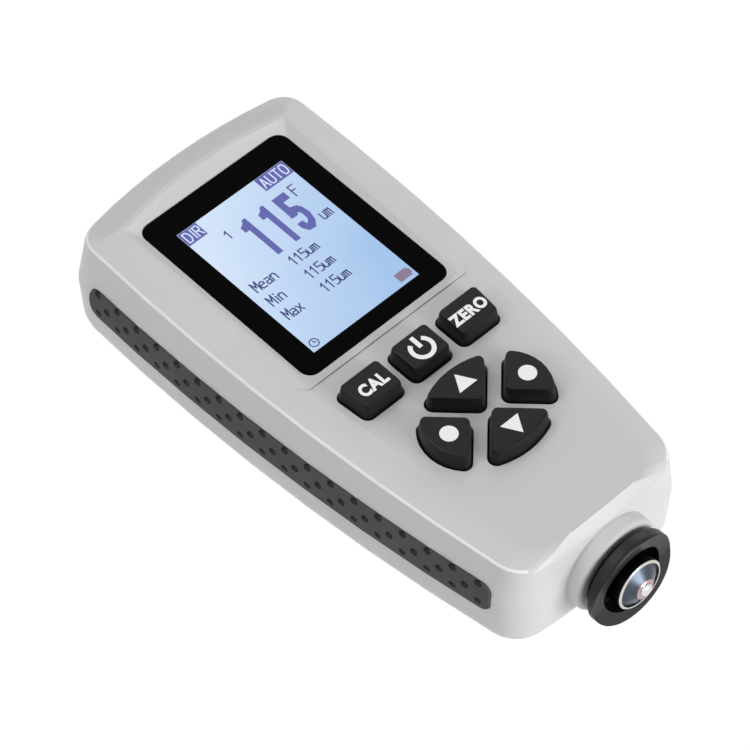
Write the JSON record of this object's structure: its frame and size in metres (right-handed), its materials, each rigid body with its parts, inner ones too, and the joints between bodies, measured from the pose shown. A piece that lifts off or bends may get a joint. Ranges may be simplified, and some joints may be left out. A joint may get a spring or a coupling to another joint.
{
  "type": "coating thickness gauge",
  "caption": "Handheld coating thickness gauge with a sloped display, soft keys, side grips and a spring-loaded probe in a V-grooved head at the front.",
  "frame": {"origin": "middle of the gauge's box, on its back face", "axes": "+Y from the probe towards the rear end, +Z out of the display and keys, +X to the right with the display read upright"},
  "size_m": [0.0526, 0.1144, 0.0261],
  "materials": {
    "case": "fine satin grain",
    "window": "gloss",
    "foam": "matte foam",
    "lcd": "lit from behind",
    "backlight": "diffusing",
    "holder": "matte",
    "board": "lacquered",
    "chip": "matte",
    "mat": "matte",
    "key": "matte, soft",
    "grip": "matte, dimpled",
    "cell": "satin",
    "steel": "plain",
    "sleeve": "polished",
    "sensor": "turned, nickel plated",
    "ring": "copper coloured",
    "tip": "polished"
  },
  "bodies": {
    "case": {"front_case": "case", "rear_case": "case", "display_window": "window", "lcd_gasket": "foam", "lcd_panel": "lcd", "backlight": "backlight", "lcd_holder": "holder", "main_board": "board", "controller_chip": "chip", "buzzer": "chip", "board_screws": "steel", "keypad_mat": "mat", "grip_left": "grip", "grip_right": "grip", "battery_1": "cell", "battery_2": "cell", "contact_plates": "steel", "contact_springs": "steel", "case_screws": "steel", "probe_sleeve": "sleeve", "probe_retainer": "sleeve", "probe_spring": "steel"},
    "battery_cover": {"battery_cover": "case"},
    "key_cal": {"key_cal": "key"},
    "key_power": {"key_power": "key"},
    "key_zero": {"key_zero": "key"},
    "key_up": {"key_up": "key"},
    "key_down": {"key_down": "key"},
    "key_left": {"key_left": "key"},
    "key_right": {"key_right": "key"},
    "probe": {"probe_sensor": "sensor", "probe_ring": "ring", "probe_tip": "tip"}
  },
  "joints": [
    {"name": "press_cal", "type": "slide", "parent": "case", "child": "key_cal", "axis": [0, 0, -1], "range_m": [0, 0.0007], "stiffness_N_per_m": 900, "springref_m": -0.0004},
    {"name": "press_power", "type": "slide", "parent": "case", "child": "key_power", "axis": [0, 0, -1], "range_m": [0, 0.0007], "stiffness_N_per_m": 900, "springref_m": -0.0004},
    {"name": "press_zero", "type": "slide", "parent": "case", "child": "key_zero", "axis": [0, 0, -1], "range_m": [0, 0.0007], "stiffness_N_per_m": 900, "springref_m": -0.0004},
    {"name": "press_up", "type": "slide", "parent": "case", "child": "key_up", "axis": [0, 0, -1], "range_m": [0, 0.0007], "stiffness_N_per_m": 900, "springref_m": -0.0004},
    {"name": "press_down", "type": "slide", "parent": "case", "child": "key_down", "axis": [0, 0, -1], "range_m": [0, 0.0007], "stiffness_N_per_m": 900, "springref_m": -0.0004},
    {"name": "press_left", "type": "slide", "parent": "case", "child": "key_left", "axis": [0, 0, -1], "range_m": [0, 0.0007], "stiffness_N_per_m": 900, "springref_m": -0.0004},
    {"name": "press_right", "type": "slide", "parent": "case", "child": "key_right", "axis": [0, 0, -1], "range_m": [0, 0.0007], "stiffness_N_per_m": 900, "springref_m": -0.0004},
    {"name": "probe_press", "type": "slide", "parent": "case", "child": "probe", "axis": [0, 0.9962, -0.0872], "range_m": [0, 0.0026], "stiffness_N_per_m": 500, "springref_m": -0.001, "deforming": ["probe_spring"]},
    {"name": "cover_slide", "type": "slide", "parent": "case", "child": "battery_cover", "axis": [0, 1, 0], "range_m": [0, 0.062]}
  ]
}
